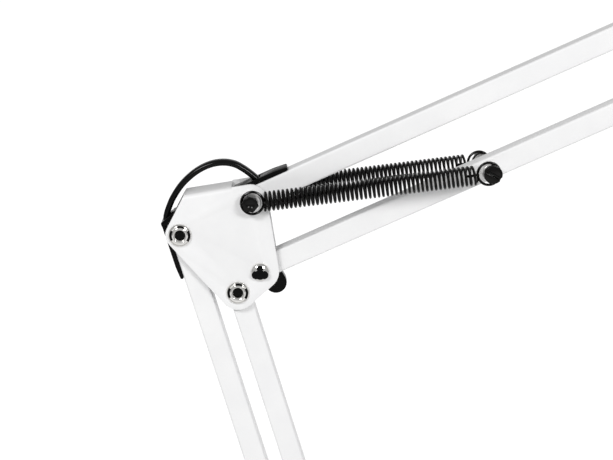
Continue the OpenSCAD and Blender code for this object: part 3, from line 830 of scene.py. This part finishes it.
def wire_eye(place):
    """A full eye of wire round a bolt, at that distance along Z."""
    bpy.ops.mesh.primitive_torus_add(major_radius=eye_radius, minor_radius=wire,
                                     major_segments=36, minor_segments=wire_sides,
                                     location=(0, 0, place), rotation=(math.radians(90), 0, 0))
    return settle(bpy.context.object)


def bent_wire(places):
    """A short piece of the spring's wire along a smooth line."""
    angles = [math.tau * k / wire_sides for k in range(wire_sides)]
    ring = [(wire * math.cos(a), wire * math.sin(a)) for a in angles]
    return tube_along("bent_wire", curve_through(places, 4), lambda i: Vector((0, 1, 0)), ring)


def laid_along(parts, start, end, side):
    """Joins parts made along Z and lays them from start to end, on one side of the arms."""
    piece = joined(parts)
    bpy.ops.object.mode_set(mode="EDIT")
    faced_out(piece)
    way = (end - start).normalized()
    turn = Matrix((Vector((0, 1, 0)).cross(way), Vector((0, 1, 0)), way)).transposed().to_4x4()
    piece.data.transform(Matrix.Translation(start + Vector((0, side * spring_side, 0))) @ turn)
    return piece


def spring(start, end, side):
    """The coil, with its near eye and hook, and its last turn bent in round the far eye's stem."""
    coil_top = (end - start).length - coil_end
    bpy.ops.mesh.primitive_circle_add(vertices=wire_sides, radius=wire,
                                      location=(coil_radius, 0, 0),
                                      rotation=(math.radians(90), 0, 0))
    helix = settle(bpy.context.object)
    pitch = (coil_top - coil_start) / coil_turn_count
    apply_modifier(helix, "SCREW", axis="Z", angle=math.tau, steps=18, render_steps=18,
                   iterations=coil_turn_count, screw_offset=pitch)
    helix.data.transform(Matrix.Translation((0, 0, coil_start)))
    eye_edge = near_slack + eye_radius
    hook = bent_wire([(0.0002, 0, eye_edge - wire), (0.001, 0, eye_edge + wire),
                      (0.0028, -0.0006, (eye_edge + coil_start) / 2 + 0.0003),
                      (coil_radius, 0, coil_start)])
    tail = bent_wire([(0.0009, 0.0001, coil_top + 0.0009), (0.0026, -0.0006, coil_top + 0.0007),
                      (coil_radius, 0, coil_top)])
    return laid_along([helix, wire_eye(near_slack), hook, tail], start, end, side)


def far_eye(start, end, side):
    """The far eye, with a straight stem that reaches into the coil."""
    reach = (end - start).length
    edge = reach - far_slack - eye_radius
    stem = bent_wire([(0, 0, reach - coil_end - stem_reach), (0, 0, edge - 0.002),
                      (0, 0, edge + wire)])
    return laid_along([wire_eye(reach - far_slack), stem], start, end, side)


for arm, start_at, bolt_node in (("lower", foot_pivot, "lower_spring_bolt"),
                                 ("upper", elbow_top, "upper_spring_bolt")):
    low, high = (Vector(corner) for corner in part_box(bolt_node))
    end_at = (low + high) / 2
    for side, side_name in ((-1, "front"), (1, "rear")):
        coil_name, eye_name = f"{arm}_spring_{side_name}", f"{arm}_eye_{side_name}"
        piece = finished(spring(start_at, end_at, side), coil_name, black_oxide, None)
        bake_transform(piece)
        if side < 0:
            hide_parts(arm + "_spring_coils", arm + "_spring_hooks")
        finished(far_eye(start_at, end_at, side), eye_name, black_oxide, arm + "_link")

# ---- Friction washers ----
# Black nylon rings on the pivots, between the tubes and the inside of the plates. They set the drag
# that keeps an arm where it is left.
nylon = mixed_finish("black_nylon", (0.005, 0.005, 0.005), (0.01, 0.01, 0.01), 0.003, (0.45, 0.6),
                     gloss=0.12)
for washer_node, washer_body in (("foot_washers", "foot"), ("elbow_washers", "elbow"),
                                 ("head_washers", "head")):
    finished(softened(washer_node, 0.00025), washer_node + "_nylon", nylon, washer_body,
             [washer_node])

# ---- Base ----
# A pressed steel cover, powder coated white, over a cast iron weight on a rubber pad. The turned
# steel socket is screwed through the cover, and the foot's pin turns in it.
finished(softened("base_cover", 0.0004), "base_cover_pressed", white_coat, "base", ["base_cover"])
cast_iron = mixed_finish("cast_iron_skin", (0.03, 0.03, 0.032), (0.07, 0.068, 0.065), 0.004,
                         (0.6, 0.85), grain=0.6, grain_size=0.0012, metal=0.6)
finished(softened("base_weight", 0.0008), "base_weight_cast", cast_iron, "base", ["base_weight"])
rubber = mixed_finish("pad_rubber", (0.02, 0.02, 0.02), (0.035, 0.035, 0.035), 0.006, (0.7, 0.9),
                      grain=0.5, grain_size=0.0008, gloss=0.25)
finished(softened("base_pad", 0.0008), "base_pad_moulded", rubber, "base", ["base_pad"])
brushed = mixed_finish("turned_steel", (0.5, 0.49, 0.47), (0.7, 0.69, 0.67), 0.003, (0.22, 0.38),
                       grain=0.25, grain_size=0.0003, metal=1.0, stretch=(1, 1, 12))
finished(softened("base_socket", 0.0006, 3), "base_socket_turned", brushed, "base", ["base_socket"])
finished(softened("swivel_pin", 0.0004, 2), "swivel_pin_turned", brushed, "foot", ["swivel_pin"])

# ---- Strain relief, coil tie and plug ----
# The gland is moulded black plastic, a collar snapped through the base's rear wall and a ribbed
# tail round the cord. The strap is nylon, and the two-pin plug is moulded on to the cord's end.
gland_low, gland_high = (Vector(c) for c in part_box("lead_gland"))
gland_axis = (0, gland_low.y, (gland_low.z + gland_high.z) / 2)
gland_profile = [(0.0054, 0), (0.0054, 0.0041), (0.0042, 0.0041), (0.0042, 0.0063),
                 (0.0058, 0.0063), (0.0058, 0.0083), (0.005, 0.009)]
rib_count = 7
rib_pitch = 0.0038
rib_depth = 0.0007
for rib in range(rib_count):
    height = 0.0105 + rib * rib_pitch
    radius = 0.0048 - rib * 0.0002
    gland_profile += [(radius - rib_depth, height), (radius - rib_depth, height + 0.0014),
                      (radius, height + 0.0017), (radius, height + 0.0034)]
gland_profile += [(0.0033, gland_high.y - gland_low.y)]
gland = set_at(turned(gland_profile, 40), gland_axis, "back")
finished(gland, "lead_gland_ribbed", black_plastic, "base", ["lead_gland"])
finished(softened("lead_tie", 0.0002), "lead_tie_strap", nylon, "base", ["lead_tie"])
plug = finished(softened("plug_body", 0.0012, 4, 50), "plug_moulded", black_plastic, "base",
                ["plug_body"])
pin_brass = mixed_finish("plug_pin_nickel", (0.72, 0.68, 0.58), (0.8, 0.76, 0.66), 0.003,
                         (0.15, 0.28), metal=1.0)
pins = finished(softened("plug_pins", 0.0007, 3), "plug_pins_turned", pin_brass, "base",
                ["plug_pins"])

# ---- Shade ----
# A spun steel dome with a curled rim, hung under a pressed cap with cooling slots and a welded lug,
# all powder coated white. The lug tilts on the head's knob bolt; the cord enters by a grommet.
finished(softened("shade_lug", 0.0006, 3), "shade_lug_coated", white_coat, "shade", ["shade_lug"])
cap = softened("shade_cap", 0.0004)
vent_count = 10
vent_ring = 0.0215
vent_drop = 0.061
vent_size = (0.006, 0.0022, 0.009)
vent_round = 0.0009
for k in range(vent_count):
    angle = math.tau * (k + 0.5) / vent_count
    vent_place = (tilt_pivot.x + vent_ring * math.cos(angle), vent_ring * math.sin(angle),
                  tilt_pivot.z - vent_drop)
    bpy.ops.mesh.primitive_cube_add(size=1, location=vent_place, rotation=(0, 0, angle),
                                    scale=vent_size)
    vent = settle(bpy.context.object)
    only(vent)
    bpy.ops.object.mode_set(mode="EDIT")
    bpy.ops.mesh.bevel(offset=vent_round, segments=3)
    bpy.ops.object.mode_set(mode="OBJECT")
    cut_with(cap, vent)
finished(cap, "shade_cap_coated", white_coat, "shade", ["shade_cap"])
finished(softened("shade", 0), "shade_spun", white_coat, "shade", ["shade"], 50)
finished(softened("cord_grommet", 0.0002), "cord_grommet_moulded", black_plastic, "shade",
         ["cord_grommet"])

# ---- Lampholder, bulb and push switch ----
# The lampholder is moulded black plastic, screwed up into the cap, with an opal globe bulb in it.
# The switch sits in the side of the cap: a nickel bezel and a black button that pushes in.
finished(softened("lampholder", 0.0006, 3), "lampholder_moulded", black_plastic, "shade",
         ["lampholder"])
finished(softened("bulb_cap", 0.0003), "bulb_cap_pressed", zinc, "shade", ["bulb_cap"])
opal = mixed_finish("opal_glass", (0.86, 0.86, 0.83), (0.9, 0.9, 0.88), 0.01, (0.1, 0.16),
                    gloss=0.5)
finished(softened("bulb_glass", 0), "bulb_globe", opal, "shade", ["bulb_glass"], 60)
finished(softened("switch_bezel", 0.0004, 3), "switch_bezel_turned", nickel, "shade",
         ["switch_bezel"])
finished(softened("switch_button", 0.0008, 3), "switch_button_moulded", black_plastic,
         "switch_button", ["switch_button"])
